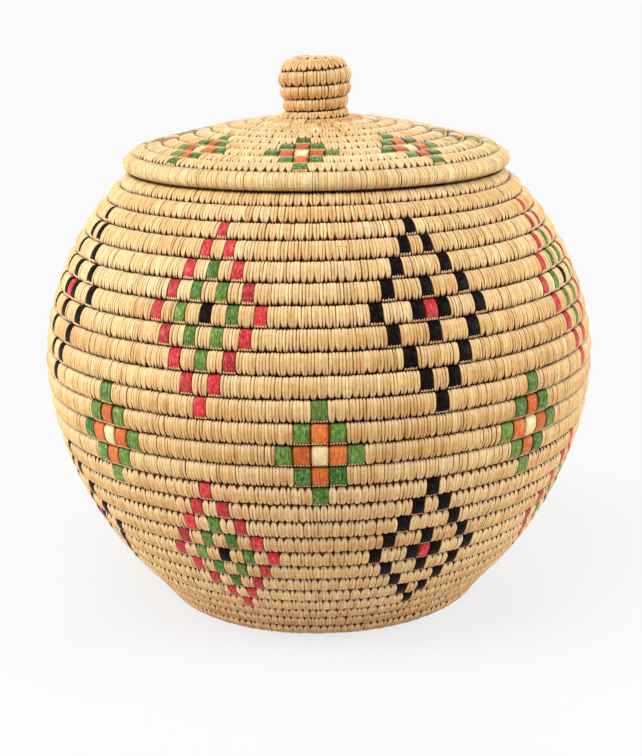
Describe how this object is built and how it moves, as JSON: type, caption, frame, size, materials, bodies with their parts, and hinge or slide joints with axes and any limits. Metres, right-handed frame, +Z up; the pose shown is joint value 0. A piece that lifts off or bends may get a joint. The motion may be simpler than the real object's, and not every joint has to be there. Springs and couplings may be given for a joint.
{
  "type": "coiled grass basket",
  "caption": "Round-bellied basket of coiled grass sewn row on row, with a domed coiled lid that has a thick rim roll, a flange and a small knob.",
  "frame": {"origin": "on the basket's upright axis, in the plane it stands on", "axes": "+Z up along the basket's axis, -Y the front seen in the picture, +X to the right of that front"},
  "size_m": [0.2028, 0.2017, 0.2022],
  "materials": {
    "base_start_coil": "dry grass, sewn",
    "base_coil": "dry grass, sewn",
    "foot_coil": "dry grass, sewn",
    "lower_wall_coil": "dry grass, sewn",
    "belly_coil": "dry grass, sewn",
    "upper_wall_coil": "dry grass, sewn",
    "shoulder_coil": "dry grass, sewn",
    "mouth_row_coil": "dry grass, sewn",
    "lid_outer_coil": "dry grass, sewn",
    "lid_inner_coil": "dry grass, sewn",
    "knob_ring_coil": "dry grass, sewn",
    "knob_grip_coil": "dry grass, sewn",
    "knob_cap_coil": "dry grass, sewn",
    "lid_rim_coil": "dry grass, sewn",
    "lid_flange_coil": "dry grass, sewn"
  },
  "bodies": {
    "basket": {"base_start_coil": "base_start_coil", "base_coil": "base_coil", "foot_coil": "foot_coil", "lower_wall_coil": "lower_wall_coil", "belly_coil": "belly_coil", "upper_wall_coil": "upper_wall_coil", "shoulder_coil": "shoulder_coil", "mouth_row_coil": "mouth_row_coil"},
    "lid": {"lid_outer_coil": "lid_outer_coil", "lid_inner_coil": "lid_inner_coil", "knob_ring_coil": "knob_ring_coil", "knob_grip_coil": "knob_grip_coil", "knob_cap_coil": "knob_cap_coil", "lid_rim_coil": "lid_rim_coil", "lid_flange_coil": "lid_flange_coil"}
  },
  "joints": [
    {"name": "lid_lift", "type": "slide", "parent": "basket", "child": "lid", "axis": [0, 0, 1], "range_m": [0, 0.08]}
  ]
}
